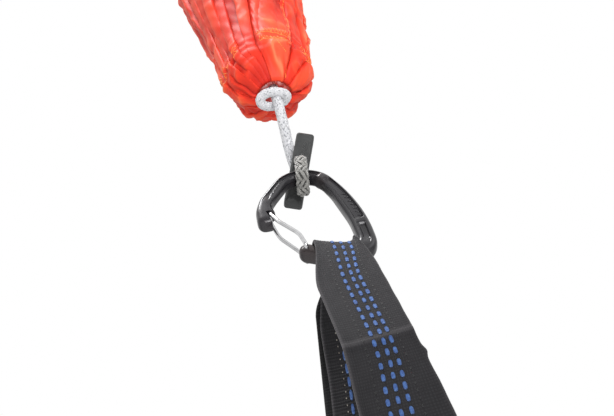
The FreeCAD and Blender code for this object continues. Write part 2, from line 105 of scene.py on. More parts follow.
class Nodes:
    """A material's node tree, with short ways to add and link nodes."""

    def __init__(self, name, **uniform):
        self.material = bpy.data.materials.new(name)
        self.material.use_nodes = True
        self.tree = self.material.node_tree
        self.shader = self.tree.nodes["Principled BSDF"]
        for key, value in uniform.items():
            self.shader.inputs[key.replace("_", " ")].default_value = value

    def add(self, kind, **values):
        node = self.tree.nodes.new(kind)
        for key, value in values.items():
            if hasattr(node, key):
                setattr(node, key, value)
            else:
                node.inputs[key.replace("_", " ")].default_value = value
        return node

    def link(self, out, into):
        self.tree.links.new(out, into)

    def feed(self, source, socket):
        """Links a socket, or gives it a number or a colour."""
        if isinstance(source, bpy.types.NodeSocket):
            self.link(source, socket)
        elif isinstance(source, tuple):
            socket.default_value = (*source, 1)
        else:
            socket.default_value = source

    def noise(self, scale, detail=3.0, stretch=None):
        source = self.add("ShaderNodeTexCoord").outputs["Object"]
        if stretch:
            mapping = self.add("ShaderNodeMapping")
            mapping.inputs["Scale"].default_value = stretch
            self.link(source, mapping.inputs["Vector"])
            source = mapping.outputs["Vector"]
        noise = self.add("ShaderNodeTexNoise", Scale=scale, Detail=detail)
        self.link(source, noise.inputs["Vector"])
        return noise.outputs["Fac"]

    def wave(self, scale, direction, distortion=0.0):
        wave = self.add("ShaderNodeTexWave", bands_direction=direction,
                        Scale=scale, Distortion=distortion)
        self.link(self.add("ShaderNodeTexCoord").outputs["UV"], wave.inputs["Vector"])
        return wave.outputs["Fac"]

    def attribute(self, name):
        return self.add("ShaderNodeAttribute", attribute_name=name).outputs["Fac"]

    def ramp(self, factor, stops):
        ramp = self.add("ShaderNodeValToRGB")
        elements = ramp.color_ramp.elements
        while len(elements) < len(stops):
            elements.new(0.5)
        for element, (position, color) in zip(elements, stops):
            element.position = position
            element.color = (*color, 1)
        self.link(factor, ramp.inputs["Fac"])
        return ramp.outputs["Color"]

    def mix(self, factor, first, second, blend="MIX"):
        mix = self.add("ShaderNodeMix", data_type="RGBA", blend_type=blend)
        for source, index in ((factor, 0), (first, 6), (second, 7)):
            self.feed(source, mix.inputs[index])
        return mix.outputs[2]

    def math(self, operation, first, second):
        node = self.add("ShaderNodeMath", operation=operation)
        self.feed(first, node.inputs[0])
        self.feed(second, node.inputs[1])
        return node.outputs[0]

    def bump(self, height, strength, distance):
        previous = self.shader.inputs["Normal"]
        bump = self.add("ShaderNodeBump", Strength=strength, Distance=distance)
        self.link(height, bump.inputs["Height"])
        if previous.is_linked:
            self.link(previous.links[0].from_socket, bump.inputs["Normal"])
        self.link(bump.outputs["Normal"], previous)

    def colour(self, color):
        self.link(color, self.shader.inputs["Base Color"])

    def roughness(self, factor, low, high):
        spread = self.add("ShaderNodeMapRange")
        spread.inputs["To Min"].default_value = low
        spread.inputs["To Max"].default_value = high
        self.link(factor, spread.inputs["Value"])
        self.link(spread.outputs["Result"], self.shader.inputs["Roughness"])


def nylon():
    """Thin glossy ripstop: deep red in the valleys as painted shade, paler on the ridges as painted
    highlight.
    """
    n = Nodes("ripstop_nylon", Specular_IOR_Level=0.25, Sheen_Weight=0.22, Sheen_Roughness=0.35,
              Sheen_Tint=(1.0, 0.40, 0.18, 1.0))
    # The ridge ramp paints light: dark red in valleys and creases is painted shade, peach on the crests
    # is painted highlight.
    ridge = n.ramp(n.attribute("ridge"), [
        (0.0, (0.30, 0.004, 0.003)), (0.3, (0.62, 0.018, 0.008)),
        (0.62, (0.84, 0.042, 0.016)), (0.86, (0.92, 0.095, 0.035)), (1.0, (0.95, 0.20, 0.085))])
    cloud = n.ramp(n.noise(60, 4), [(0.35, (0.86, 0.74, 0.70)), (0.7, (1.0, 1.0, 1.0))])
    n.colour(n.mix(0.7, ridge, cloud, "MULTIPLY"))
    n.roughness(n.noise(150, 3), 0.46, 0.62)
    n.bump(n.noise(110, 5, (1, 1, 0.25)), 0.35, 0.0010)
    n.bump(n.noise(420, 3, (1, 1, 0.5)), 0.25, 0.0003)
    n.bump(n.math("MAXIMUM", n.wave(0.16, "X"), n.wave(0.16, "Y")), 0.12, 0.0002)
    return n.material


def speckled(name, speckle, dark, light, rough, bumps, **uniform):
    """Two tones, roughness and relief from noise; speckle and bumps start with noise scales."""
    n = Nodes(name, **uniform)
    n.colour(n.ramp(n.noise(*speckle), [(0.3, dark), (0.7, light)]))
    n.roughness(n.noise(*rough[:2]), *rough[2:])
    for scale, detail, strength, distance in bumps:
        n.bump(n.noise(scale, detail), strength, distance)
    return n.material


def thread(name, dark, light, sheen=0.2):
    """Sewing thread, two-toned and dull."""
    return speckled(name, (900, 3), dark, light, (500, 3, 0.5, 0.75), [(2600, 2, 0.5, 0.0002)],
                    Sheen_Weight=sheen)


def white_braid():
    """White sheath with a few dark flecks in its braid."""
    n = Nodes("white_braid", Sheen_Weight=0.15)
    grain = n.ramp(n.noise(1400, 4), [(0.30, (0.46, 0.47, 0.49)), (0.60, (0.70, 0.70, 0.72))])
    fleck = n.attribute("fleck")
    n.colour(n.mix(fleck, grain, (0.25, 0.26, 0.28)))
    n.roughness(n.noise(700), 0.55, 0.8)
    n.bump(n.noise(2200, 3), 0.5, 0.0002)
    return n.material


def grey_fibre():
    """Long filaments of a bare twelve-strand rope, with a silky sheen; near black in the gaps between
    strands as painted shade.
    """
    n = Nodes("grey_fibre", Specular_IOR_Level=0.6, Sheen_Weight=0.35)
    lines = n.wave(1.3, "X", 2.0)
    shade = n.ramp(n.noise(260, 4), [(0.3, (0.19, 0.186, 0.174)), (0.7, (0.40, 0.393, 0.368))])
    fibres = n.mix(n.math("MULTIPLY", lines, 0.40), shade, (0.62, 0.61, 0.575))
    # Near black wherever the raised value is low, under crossings, between strands and on the core:
    # painted shade in the rope's gaps.
    n.colour(n.mix(n.attribute("raised"), (0.035, 0.034, 0.031), fibres))
    n.roughness(n.noise(500), 0.30, 0.5)
    n.bump(lines, 0.5, 0.0003)
    return n.material


def anodised():
    """Tumbled black anodising: near black, brown and violet by turns, with soft gloss."""
    n = Nodes("black_anodised", Metallic=0.35, Specular_IOR_Level=0.6, Coat_Weight=0.30,
              Coat_Roughness=0.22)
    n.colour(n.ramp(n.noise(28, 3), [
        (0.30, (0.014, 0.013, 0.016)), (0.55, (0.023, 0.021, 0.026)),
        (0.75, (0.036, 0.025, 0.025))]))
    n.roughness(n.noise(420, 4), 0.24, 0.36)
    n.bump(n.noise(900, 3), 0.08, 0.0002)
    return n.material


def webbing(name, dark, light, painted_edge_highlight):
    """Woven polyester tape; UVs are in mm across and along."""
    n = Nodes(name, Sheen_Weight=0.12, Sheen_Roughness=0.5, Specular_IOR_Level=0.3)
    across = n.wave(0.32, "X")
    along = n.wave(0.256, "Y", 0.6)
    weave = n.math("MULTIPLY", across, along)
    base = n.mix(n.math("MULTIPLY", weave, 0.45), dark, light)
    cloud = n.ramp(n.noise(70, 4), [(0.3, (0.72, 0.72, 0.73)), (0.7, (1.0, 1.0, 1.0))])
    base = n.mix(0.8, base, cloud, "MULTIPLY")
    # Paler where the edge value is high, along the rims and the crease: painted highlight.
    n.colour(n.mix(n.attribute("edge"), base, painted_edge_highlight))
    n.roughness(n.noise(300), 0.72, 0.9)
    n.bump(weave, 0.4, 0.0002)
    n.bump(n.noise(1800, 3), 0.35, 0.0002)
    return n.material


NYLON = nylon()
ORANGE_THREAD = thread("orange_thread", (0.90, 0.16, 0.02), (1.0, 0.34, 0.06))
WHITE_BRAID = white_braid()
GREY_FIBRE = grey_fibre()
TOGGLE = speckled("toggle_plastic", (300, 5), (0.026, 0.027, 0.027), (0.042, 0.043, 0.043),
                  (220, 4, 0.42, 0.60), [(2400, 2, 0.25, 0.0001), (160, 3, 0.08, 0.0006)],
                  Specular_IOR_Level=0.5)
ANODISED = anodised()
STEEL = speckled("polished_steel", (340, 3), (0.66, 0.66, 0.67), (0.78, 0.78, 0.79),
                 (60, 3, 0.16, 0.24), [(200, 2, 0.02, 0.0001)], Metallic=1.0)
TAPE = webbing("strap_tape", (0.024, 0.023, 0.026), (0.052, 0.050, 0.056), (0.14, 0.13, 0.14))
# Same webbing as the strap, made about three times darker: painted shade for the tape behind the back
# leg.
SHADED_BACKING_TAPE = webbing("backing_tape", (0.006, 0.006, 0.007), (0.016, 0.016, 0.018),
                       (0.03, 0.03, 0.03))
BLUE_THREAD = thread("blue_thread", (0.030, 0.085, 0.31), (0.085, 0.21, 0.54), 0.12)
DARK_THREAD = thread("dark_thread", (0.006, 0.006, 0.007), (0.020, 0.020, 0.022))
PALE_THREAD = thread("pale_thread", (0.22, 0.17, 0.13), (0.62, 0.58, 0.52))


# ---- mesh helpers ----

def mesh_object(name, points, faces):
    """A new object in the scene, from points in metres."""
    mesh = bpy.data.meshes.new(name)
    mesh.from_pydata(np.asarray(points).tolist(), [], [tuple(int(i) for i in f) for f in faces])
    mesh.update()
    obj = bpy.data.objects.new(name, mesh)
    bpy.context.scene.collection.objects.link(obj)
    return obj


def piece(name, verts, faces, material, slot, body, attributes=None, uv=None):
    """A smooth mesh in the row frame, from points in mm about the bearing point."""
    obj = mesh_object(name, metres(verts), faces)
    mesh = obj.data
    mesh.polygons.foreach_set("use_smooth", [True] * len(mesh.polygons))
    for key, values in (attributes or {}).items():
        layer = mesh.attributes.new(key, "FLOAT", "POINT")
        layer.data.foreach_set("value", np.asarray(values, np.float32))
    if uv is not None:
        corners = np.empty(len(mesh.loops), np.int32)
        mesh.loops.foreach_get("vertex_index", corners)
        layer = mesh.uv_layers.new(name="UVMap")
        layer.data.foreach_set("uv", np.asarray(uv, np.float32)[corners].ravel())
    mesh.materials.append(material)
    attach(obj, body)
    return obj


def grid_quads(rows, cols, wrap_rows=False, wrap_cols=False, first=0, flip=False):
    """Four-sided faces between the points of a grid."""
    i, j = np.meshgrid(np.arange(rows if wrap_rows else rows - 1),
                       np.arange(cols if wrap_cols else cols - 1), indexing="ij")
    a = i * cols + j
    b = i * cols + (j + 1) % cols
    c = ((i + 1) % rows) * cols + (j + 1) % cols
    d = ((i + 1) % rows) * cols + j
    quads = np.stack([a, b, c, d], -1).reshape(-1, 4) + first
    return quads[:, ::-1] if flip else quads


def surface_normals(grid, wrap_cols=False):
    """Unit normals of a grid of points, from its rows and columns."""
    along = np.gradient(grid, axis=0)
    if wrap_cols:
        across = np.roll(grid, -1, axis=1) - np.roll(grid, 1, axis=1)
    else:
        across = np.gradient(grid, axis=1)
    normal = np.cross(across, along)
    return normal / np.maximum(np.linalg.norm(normal, axis=2, keepdims=True), 1e-9)


def shell(grid, half, wrap_cols=False):
    """Points and faces of a closed sheet of thickness 2 * half about a grid."""
    rows, cols = grid.shape[:2]
    normal = surface_normals(grid, wrap_cols)
    half = np.broadcast_to(np.asarray(half, float), (rows, cols))[..., None]
    verts = np.concatenate([(grid + normal * half).reshape(-1, 3),
                            (grid - normal * half).reshape(-1, 3)])
    count = rows * cols
    faces = [grid_quads(rows, cols, False, wrap_cols, 0),
             grid_quads(rows, cols, False, wrap_cols, count, True)]
    span = np.arange(cols if wrap_cols else cols - 1)
    after = (span + 1) % cols
    last = (rows - 1) * cols
    faces.append(np.stack([after, span, span + count, after + count], -1))
    faces.append(np.stack([last + span, last + after, last + after + count,
                           last + span + count], -1))
    if not wrap_cols:
        rail = np.arange(rows - 1) * cols
        side = rail + cols - 1
        faces.append(np.stack([rail, rail + cols, rail + cols + count, rail + count], -1))
        faces.append(np.stack([side + cols, side, side + count, side + cols + count], -1))
    return verts, np.concatenate(faces)


def sheet_piece(name, grid, half, material, slot, body, key, values, uv, wrap_cols=False):
    """A closed sheet about a grid, with one value and one UV at each of the grid's points."""
    verts, faces = shell(grid, half, wrap_cols)
    return piece(name, verts, faces, material, slot, body,
                 {key: np.tile(values.ravel(), 2)}, np.concatenate([uv, uv]))


def spline_points(points, cyclic=False, resolution=24):
    """Points read from the NURBS spline of order 3 that these points control."""
    curve = bpy.data.curves.new("route", "CURVE")
    curve.dimensions = "3D"
    curve.resolution_u = resolution
    spline = curve.splines.new("NURBS")
    spline.points.add(len(points) - 1)
    for point, co in zip(spline.points, points):
        point.co = (*co, 1)
    spline.order_u = 3
    if cyclic:
        spline.use_cyclic_u = True
    else:
        spline.use_endpoint_u = True
    holder = bpy.data.objects.new("route", curve)
    mesh = bpy.data.meshes.new_from_object(holder)
    out = np.array([v.co for v in mesh.vertices], float)
    bpy.data.objects.remove(holder)
    bpy.data.curves.remove(curve)
    bpy.data.meshes.remove(mesh)
    return out


def reach_along(points):
    """Distance along a line to each of its points."""
    steps = np.linalg.norm(np.diff(points, axis=0), axis=1)
    return np.concatenate([[0], np.cumsum(steps)])


def resample(points, count, closed=False):
    """The same line with its points evenly spaced."""
    if closed:
        points = np.concatenate([points, points[:1]])
    reach = reach_along(points)
    at = np.linspace(0, reach[-1], count + 1 if closed else count)
    out = np.stack([np.interp(at, reach, column) for column in points.T], -1)
    return (out[:-1] if closed else out), reach[-1]


def heading_along(path, closed=False):
    """Unit vectors along a path."""
    if closed:
        return unit(np.roll(path, -1, axis=0) - np.roll(path, 1, axis=0))
    return unit(np.gradient(path, axis=0))


def frames_along(path, start, closed=False):
    """Two unit vectors across the path at each point, turned no more than the path turns."""
    tangent = heading_along(path, closed)
    side = np.asarray(start, float)
    sides = []
    for t in tangent:
        side = unit(side - t * (side @ t))
        sides.append(side)
    sides = np.array(sides)
    return sides, np.cross(tangent, sides)


def tube_grid(path, sides, others, radius, round_count, closed=False):
    """Points and faces of a tube; radius is one number or one for each vertex."""
    rows = len(path)
    angle = full_turn(round_count)
    radius = np.broadcast_to(radius, (rows, round_count))[..., None]
    spoke = (np.cos(angle)[None, :, None] * sides[:, None] +
             np.sin(angle)[None, :, None] * others[:, None])
    verts = (path[:, None] + spoke * radius).reshape(-1, 3)
    faces = list(grid_quads(rows, round_count, closed, True))
    if not closed:
        faces.append(tuple(range(round_count))[::-1])
        faces.append(tuple(range((rows - 1) * round_count, rows * round_count)))
    return verts, faces


def join(parts):
    """One list of points and faces from several."""
    verts, faces, first = [], [], 0
    for part_verts, part_faces in parts:
        verts.append(part_verts)
        faces += [tuple(int(i) + first for i in f) for f in part_faces]
        first += len(part_verts)
    return np.concatenate(verts), faces


BEAD_RINGS = 6
BEAD_SECTORS = 10


def bead(centre, along, normal, half_long, half_wide, half_high):
    """A rounded stitch lying on a surface."""
    along = unit(along)
    normal = unit(normal - along * (normal @ along))
    across = np.cross(normal, along)
    verts = []
    for i in range(1, BEAD_RINGS):
        t = math.pi * i / BEAD_RINGS
        ring = math.sin(t) ** 0.6
        for a in full_turn(BEAD_SECTORS):
            verts.append(centre - along * math.cos(t) * half_long
                         + across * math.cos(a) * ring * half_wide
                         + normal * math.sin(a) * ring * half_high)
    verts += [centre - along * half_long, centre + along * half_long]
    faces = list(grid_quads(BEAD_RINGS - 1, BEAD_SECTORS, False, True, 0, True))
    low = len(verts) - 2
    last = (BEAD_RINGS - 2) * BEAD_SECTORS
    for j in range(BEAD_SECTORS):
        k = (j + 1) % BEAD_SECTORS
        faces.append((low, k, j))
        faces.append((low + 1, last + j, last + k))
    return np.array(verts), faces


def loose_thread(points, radius):
    """A six-sided thread through the points."""
    path = np.array(points, float)
    sides, others = frames_along(path, (0.1, 0.2, 1.0))
    return tube_grid(path, sides, others, radius, 6)


# ---- cords ----

BOW_CENTRE = np.array([-1.0, 0.0, -10.8])
TOGGLE_FACE = np.array([2.7, 4.5, 21.4])
TOGGLE_TURN = (Quaternion((0, 1, 0), math.radians(21.6)) @
               Quaternion((1, 0, 0), math.radians(20.4)) @
               Quaternion((0, 0, 1), math.radians(10.0)))
FRONT = np.array(TOGGLE_TURN @ Vector((0, -1, 0)))


def braid_height(around, along, carriers, pitch):
    """Relief of a round braid: 0 between the strands and 1 on them."""
    a = np.abs(np.sin(carriers * around / 2 + math.pi * along / pitch))
    b = np.abs(np.sin(carriers * around / 2 - math.pi * along / pitch))
    return np.maximum(a, b) ** 1.5 * 0.6 + 0.4 * np.minimum(a, b)


def flecks(around, along, carriers, pitch, share):
    """1 on a few of the braid's diamonds, picked by a fixed hash."""
    i = np.floor(carriers * around / (2 * math.pi) + along / pitch)
    j = np.floor(carriers * around / (2 * math.pi) - along / pitch)
    pick = np.modf(np.abs(np.sin(i * 12.9898 + j * 78.233) * 43758.5453))[0]
    return (pick < share).astype(float)


BRAID_POINTS = 64
CARRIERS = 12          # strands that turn each way
BRAID_PITCH = 2.6      # mm along the cord


def braided_tube(name, path, start, half_side, half_other, body, closed, share, relief):
    """A braided cord of oval section about a path in mm."""
    rows = len(path)
    step = np.linalg.norm(path[1] - path[0])
    sides, others = frames_along(path, start, closed)
    angle, along = np.meshgrid(full_turn(BRAID_POINTS), np.arange(rows) * step)
    pitch = rows * step / round(rows * step / BRAID_PITCH) if closed else BRAID_PITCH
    radius = (oval(angle, half_side, half_other) - relief
              + relief * braid_height(angle, along, CARRIERS, pitch))
    verts, faces = tube_grid(path, sides, others, radius, BRAID_POINTS, closed)
    fleck = flecks(angle, along, CARRIERS * 2, pitch / 2, share).ravel()
    return piece(name, verts, faces, WHITE_BRAID, "white_cord", body, {"fleck": fleck},
                 np.stack([angle.ravel(), along.ravel()], -1))


def hanging_cord():
    """Sheathed cord from the toggle's hole up through its own eye into the fabric."""
    behind = TOGGLE_FACE - FRONT * 13.0
    upper = np.array([0.8, 12.5, 44.0])
    rise = unit(upper - behind)
    route = [TOGGLE_FACE - FRONT * 1.6, behind, behind + rise * 4.0, upper,
             np.array([0.6, -2.4, 67.0]), np.array([0.6, -2.4, 91.0])]
    path, length = resample(spline_points(route), 260)
    cord = braided_tube("white_cord", path, (1, 0, 0), 3.0, 3.0, "cord", False, 0.13, 0.30)
    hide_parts("hanging_cord")


def cord_eye():
    """The white cord's own eye, flat against the fabric's mouth."""
    middle = (-1.2, -2.4, 78.5)
    corners = []
    for k in range(10):
        angle = 2 * math.pi * (k + 0.5) / 10
        corners.append((middle[0] + 8.1 * math.cos(angle), middle[1] + 4.9 * math.sin(angle),
                        middle[2] + 0.4 + 0.6 * math.sin(2 * angle)))
    path, _ = resample(spline_points(corners, True), 220, True)
    eye = braided_tube("cord_eye_braid", path, (0, 0, 1), 2.0, 2.9, "eye", True, 0.07, 0.42)
    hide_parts("cord_eye")


STRANDS = 12
STRAND_POINTS = 14
CORE_POINTS = 20
STRAND_LAY = 22.0              # mm of rope for one turn of a strand
STRAND_HALF = (0.62, 0.80)     # half sizes of one flattened strand
ROPE_HALF = (2.45, 1.25)       # from the rope's middle to its strands', across and through
CORE_HALF = (2.2, 1.0)
WEAVE_DEPTH = 0.32


def rope_route():
    """Control points of the eye's route, and the direction across its band."""
    reach = TOGGLE_FACE + FRONT * 3.0 - BOW_CENTRE
    swing = math.atan2(reach[0], reach[2])
    rise = np.array([math.sin(swing), 0, math.cos(swing)])
    across = np.array([0, 1.0, 0])
    mouth = TOGGLE_FACE - BOW_CENTRE
    face = np.array([mouth[1], mouth @ rise])
    out = unit(np.array([FRONT[1], FRONT @ rise]))
    up = np.array([out[1], -out[0]])
    low = np.array([0.0, 13.8])
    corners = [
        face - up * 0.2 - out * 2.2, face - up * 0.4 + out * 0.8, face - up * 2.2 + out * 3.8,
        low + (-6.6, 9.0), low + (-6.5, 1.0), low + (-6.2, -6.3),
        low + (6.2, -6.3), low + (6.3, 2.0), face - up * 4.6 + out * 2.6,
        face - up * 2.2 + out * 0.7, face - up * 2.0 - out * 2.2]
    return [BOW_CENTRE + across * y + rise * h for y, h in corners], np.cross(rise, across)


def rope_eye():
    """Bare twelve-strand core: out of the toggle's hole, under the bow and back."""
    route, binormal = rope_route()
    path, length = resample(spline_points(route, True), 560, True)
    count = len(path)
    offset = np.broadcast_to(binormal, path.shape)
    outward = np.cross(offset, heading_along(path, True))
    hidden = (path - TOGGLE_FACE) @ FRONT
    width = (0.62 + 0.38 * smoothstep(0.5, 8.5, hidden))[:, None]
    depth = (0.80 + 0.20 * smoothstep(-0.5, 7.0, hidden))[:, None]
    along = np.arange(count) / count
    turns = round(length / STRAND_LAY)
    turn = full_turn(STRAND_POINTS)
    radius = oval(turn, *STRAND_HALF)[None] * np.sqrt(width * depth)
    crown = (0.5 + 0.5 * np.cos(turn)) ** 0.7
    parts, raised = [], []
    for k in range(STRANDS):
        hand = 1 if k % 2 else -1
        angle = (2 * math.pi * ((k // 2) / (STRANDS / 2) + hand * turns * along))[:, None]
        weave = (WEAVE_DEPTH * np.cos(6 * math.pi * turns * along + math.pi / 4) * hand)[:, None]
        strand = (path + offset * (ROPE_HALF[0] + weave) * np.cos(angle) * width
                  + outward * (ROPE_HALF[1] + weave) * np.sin(angle) * depth)
        heading = heading_along(strand, True)
        face = offset * np.cos(angle) / ROPE_HALF[0] + outward * np.sin(angle) / ROPE_HALF[1]
        face = unit(face - heading * (face * heading).sum(1, keepdims=True))
        parts.append(tube_grid(strand, face, np.cross(heading, face), radius, STRAND_POINTS, True))
        # 1 on a strand's outer crown where it crosses over, 0 under and between: where it is low the
        # fibre material paints shade.
        raised.append((smoothstep(-0.30, 0.22, weave) * crown).ravel())
    turn = full_turn(CORE_POINTS)[:, None]
    core = (path[:, None] + offset[:, None] * np.cos(turn) * CORE_HALF[0] * width[..., None]
            + outward[:, None] * np.sin(turn) * CORE_HALF[1] * depth[..., None])
    parts.append((core.reshape(-1, 3), grid_quads(count, CORE_POINTS, True, True)))
    # The core gets 0 everywhere, so it is painted in shade.
    raised.append(np.zeros(count * CORE_POINTS))

    def filament_uv(points, pitch):
        return np.stack([np.tile(np.arange(points) * pitch, count),
                         np.repeat(along * length * 0.2, points)], -1)

    uv = [filament_uv(STRAND_POINTS, 0.35)] * STRANDS + [filament_uv(CORE_POINTS, 0.3)]
    rope = piece("twelve_strand_eye", *join(parts), GREY_FIBRE, "grey_rope", "cord",
                 {"raised": np.concatenate(raised)}, np.concatenate(uv))
    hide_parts("rope_eye")


hanging_cord()
cord_eye()
rope_eye()


# ---- gathered fabric ----

# Middle of the cloth from the sewn end of the channel, round its mouth, up to the hem:
# (radius, height). The wall's own points start at WALL_START.
FABRIC_PROFILE = [(22.4, 113.0), (19.6, 103.0), (13.6, 97.2), (12.0, 92.5), (10.4, 89.2),
                  (9.3, 87.4), (10.3, 85.7), (12.5, 85.8), (16.6, 90.4), (21.8, 97.4),
                  (25.2, 109.0), (28.4, 146.0), (33.8, 180.0), (39.6, 216.0), (44.6, 247.4),
                  (44.2, 248.9), (42.9, 247.4), (42.0, 241.5), (41.3, 237.4)]
WALL_START = 7
WALL_END = 14

# Middle of the cord in the channel (radius, height), and how far the cloth keeps off it.
CHANNEL_CORD = np.array([15.5, 93.0])
CORD_CLEAR = 2.6

# Valleys between the pleats, in degrees from +X.
VALLEYS = [-172, -160, -149, -137, -125, -112, -99, -50, -24, 4, 27, 50, 74, 97, 119, 141, 164]


def smooth_profile(points, per_span):
    """Catmull-Rom line through the points."""
    points = np.array(points, float)
    padded = np.concatenate([[2 * points[0] - points[1]], points, [2 * points[-1] - points[-2]]])
    out = []
    for k in range(len(points) - 1):
        a, b, c, d = padded[k:k + 4]
        count = per_span[k] if hasattr(per_span, "__len__") else per_span
        for t in np.arange(count) / count:
            out.append(0.5 * (2 * b + (c - a) * t + (2 * a - 5 * b + 4 * c - d) * t * t
                              + (3 * b - a - 3 * c + d) * t ** 3))
    out.append(points[-1])
    return np.array(out)


PROFILE_STEPS = [7, 6, 5, 5, 5, 6, 8, 14, 16, 24, 44, 28, 26, 26, 4, 5, 5, 4]
PROFILE = smooth_profile(FABRIC_PROFILE, PROFILE_STEPS)
WALL_FIRST = sum(PROFILE_STEPS[:WALL_START])
WALL_LAST = sum(PROFILE_STEPS[:WALL_END])
WALL = PROFILE[WALL_FIRST:WALL_LAST + 1]

RADIAN = 57.3            # degrees in a radian
CLOTH_HALF = 0.28        # half the cloth's thickness
UV_RADIUS = 34.0         # radius at which the cloth's UVs are true to size


def lattice_noise(across, up, wrap, seed):
    """Smooth noise from 0 to 1 that repeats after wrap cells across."""
    i, j = np.floor(across), np.floor(up)
    u, v = across - i, up - j
    u, v = u * u * (3 - 2 * u), v * v * (3 - 2 * v)

    def corner(a, b):
        pick = np.sin((a % wrap) * 127.1 + b * 311.7 + seed * 74.7) * 43758.5453
        return pick - np.floor(pick)

    low = corner(i, j) * (1 - u) + corner(i + 1, j) * u
    high = corner(i, j + 1) * (1 - u) + corner(i + 1, j + 1) * u
    return low * (1 - v) + high * v


def crumple(theta, height):
    """Sharp-crested creases from 0 to 1: long up the wall, short and crossing by the channel."""
    turn = (theta + 180.0) / 360.0
    sway = lattice_noise(turn * 8, height / 19.0, 8, 3) - 0.5
    long_one = 1 - np.abs(2 * lattice_noise(turn * 24 + 2.6 * sway, height / 85.0, 24, 1) - 1)
    short_one = 1 - np.abs(2 * lattice_noise(turn * 30 + 5.0 * sway, height / 11.0, 30, 2) - 1)
    near = smoothstep(132, 106, height)
    return (1 - 0.55 * near) * long_one ** 2 + (0.08 + 0.7 * near) * short_one ** 2


def pleats(theta, height):
    """(ridge height 0 to 1, sideways lean) of the pleats at angles in degrees and heights."""
    drift = (3.2 * np.sin(height / 21.0 + theta / RADIAN * 2.0)
             + 2.0 * np.sin(height / 9.0 + theta / RADIAN * 5.0) * smoothstep(118, 96, height)
             + 11.0 * np.sin(np.radians(theta) * 2 + 2.6) * smoothstep(108, 84, height))
    turned = (theta + drift + 180.0) % 360.0 - 180.0
    edges = np.array([VALLEYS[-1] - 360] + VALLEYS + [VALLEYS[0] + 360], float)
    index = np.clip(np.searchsorted(edges, turned) - 1, 0, len(edges) - 2)
    width = edges[index + 1] - edges[index]
    share = (turned - edges[index]) / width
    lobe = np.sin(math.pi * np.clip(share, 0, 1)) ** 0.62
    size = 0.72 + 0.28 * np.sin(index * 2.4 + height / 26.0)
    wide = np.clip(width / 24.0, 0.75, 1.15)
    lean = np.sin(2 * math.pi * share)
    inner = np.abs(np.sin(math.pi * share * np.where(width > 35, 3.0, 2.0)
                          + 0.9 * np.sin(height / 17.0 + index)))
    above = smoothstep(112, 124, height)
    ridge = lobe * size * wide * (1 - 0.26 * above * (1 - inner ** 0.7) * (width > 20))
    return ridge, lean * lobe


def amplitude(height):
    """Depth of the pleats in mm at heights in mm."""
    return np.interp(height, [82, 86, 92, 100, 109, 118, 150, 200, 249],
                     [1.1, 1.8, 3.6, 4.6, 3.6, 4.4, 5.4, 5.9, 6.0])


def cloth(theta, radius, height, out_r, out_z, loose=1.0):
    """Pleated cloth: points for angles in degrees about a profile and its outward normal."""
    ridge, lean = pleats(theta, height)
    amount = amplitude(height) * loose
    pucker = (0.18 * np.sin(2 * math.pi * height / 6.4 + 2.2 * np.sin(theta / RADIAN * 9.0)
                            + 1.3 * np.sin(theta / RADIAN * 23.0))
              * np.exp(-((height - 109) / 8.5) ** 2))
    crease = (0.22 * np.sin(height / 3.1 + theta / RADIAN * 31)
              * np.sin(theta / RADIAN * 17 + height / 11) * smoothstep(82, 96, height))
    inward = np.interp(height, [92, 106], [0.30, 0.52])
    folds = crumple(theta, height)
    rough = np.interp(height, [82, 88, 104, 112, 125, 160, 249],
                      [0.6, 1.6, 2.8, 1.9, 1.4, 1.4, 1.5])
    shift = amount * (ridge - inward) + (pucker + crease + rough * (folds - 0.45)) * loose
    # Colour value for the ripstop: pleat crests and crumple crests raise it into painted highlight,
    # valleys and creases lower it into painted shade.
    ridge = np.clip(0.72 * ridge + 0.42 * folds - 0.10, 0, 1)
    back = np.clip(np.sin(np.radians(theta)), 0, 1) * smoothstep(102, 85, height) * loose
    radius = radius - 1.0 * back
    droop = 2.6 * back - 1.0 * ridge * np.exp(-((height - 83.5) / 3.2) ** 2) * loose
    angle = np.radians(theta) - 0.42 * lean * amount / np.maximum(radius, 8)
    off_cord = np.stack([radius + out_r * shift, height + out_z * shift + droop], -1)
    off_cord -= CHANNEL_CORD
    gap = np.maximum(np.linalg.norm(off_cord, axis=-1, keepdims=True), 0.1)
    reach, rise = np.moveaxis(CHANNEL_CORD + off_cord * np.maximum(CORD_CLEAR / gap, 1), -1, 0)
    return np.stack([reach * np.cos(angle), reach * np.sin(angle), rise], -1), ridge


def wall(theta, height, stand=0.0, sunk=0.0):
    """Points on the outer wall, standing off it by so many mm, less sunk in its valleys."""
    theta = np.asarray(theta, float)
    height = np.asarray(height, float)
    radius = np.interp(height, WALL[:, 1], WALL[:, 0])
    points, ridge = cloth(theta, radius, height, 1.0, 0.0)
    outward = np.stack([np.cos(np.radians(theta)), np.sin(np.radians(theta)), 0 * theta], -1)
    off = stand - sunk * (1 - smoothstep(0.34, 0.58, ridge))
    return points + outward * off[..., None]


